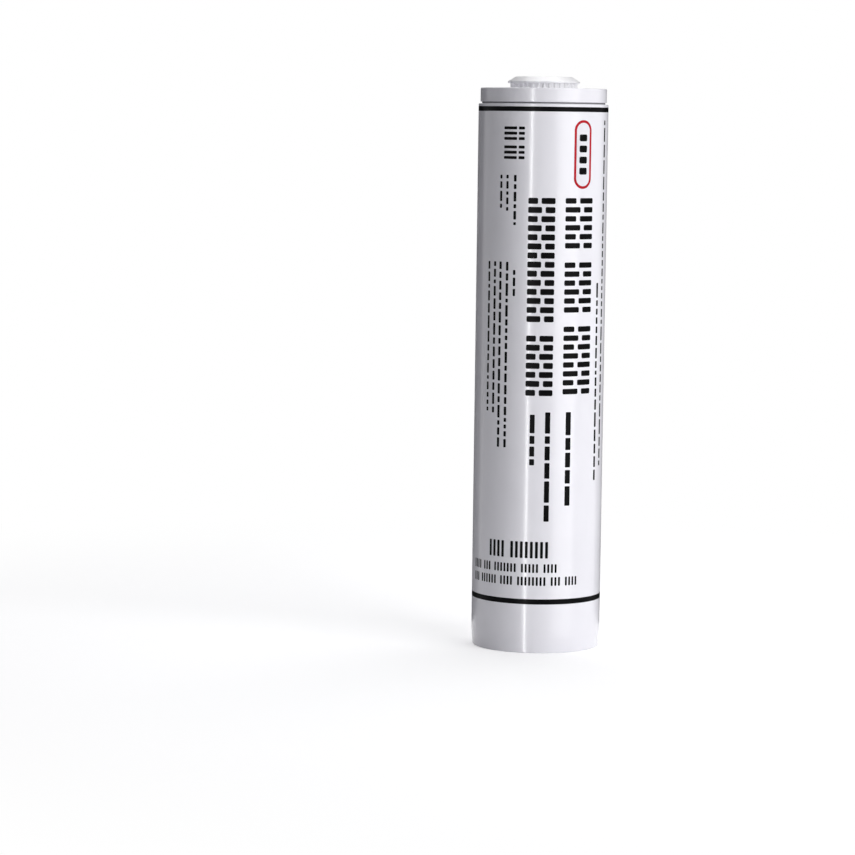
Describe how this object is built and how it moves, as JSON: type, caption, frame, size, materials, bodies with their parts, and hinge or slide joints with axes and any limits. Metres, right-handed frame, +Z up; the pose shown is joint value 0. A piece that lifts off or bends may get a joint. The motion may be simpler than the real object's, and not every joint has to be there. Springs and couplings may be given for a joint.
{
  "type": "adhesive cartridge",
  "caption": "Straight white dispensing cartridge for paste adhesive, with a recessed head, a screw cap over the outlet neck and a push-in plunger at the rear.",
  "frame": {"origin": "on the barrel's axis, in the plane of the rear rim that the cartridge stands on", "axes": "+Z up the barrel's axis, from the rear rim to the screw cap; -Y towards the viewer of the picture"},
  "size_m": [0.05, 0.05, 0.2204],
  "materials": {
    "barrel_plastic": "satin",
    "cap_plastic": "satin",
    "liner_foam": "matte",
    "plunger_plastic": "matte",
    "adhesive_paste": "satin"
  },
  "bodies": {
    "barrel": {"barrel": "barrel_plastic", "adhesive_fill": "adhesive_paste"},
    "liner": {"cap_liner": "liner_foam"},
    "cap": {"screw_cap": "cap_plastic"},
    "plunger": {"plunger": "plunger_plastic"}
  },
  "joints": [
    {"name": "cap_turn", "type": "hinge", "parent": "liner", "child": "cap", "pos_m": [0, 0, 0.2106], "axis": [0, 0, 1], "range_deg": [0, 1080]},
    {"name": "cap_lift", "type": "slide", "parent": "barrel", "child": "liner", "axis": [0, 0, 1], "range_m": [0, 0.009]},
    {"name": "plunger_push", "type": "slide", "parent": "barrel", "child": "plunger", "axis": [0, 0, 1], "range_m": [0, 0.1855], "deforming": ["adhesive_fill"]}
  ],
  "couplings": [
    {"joint": "cap_lift", "follows": "cap_turn", "m_per_rad": 0.00047746}
  ]
}
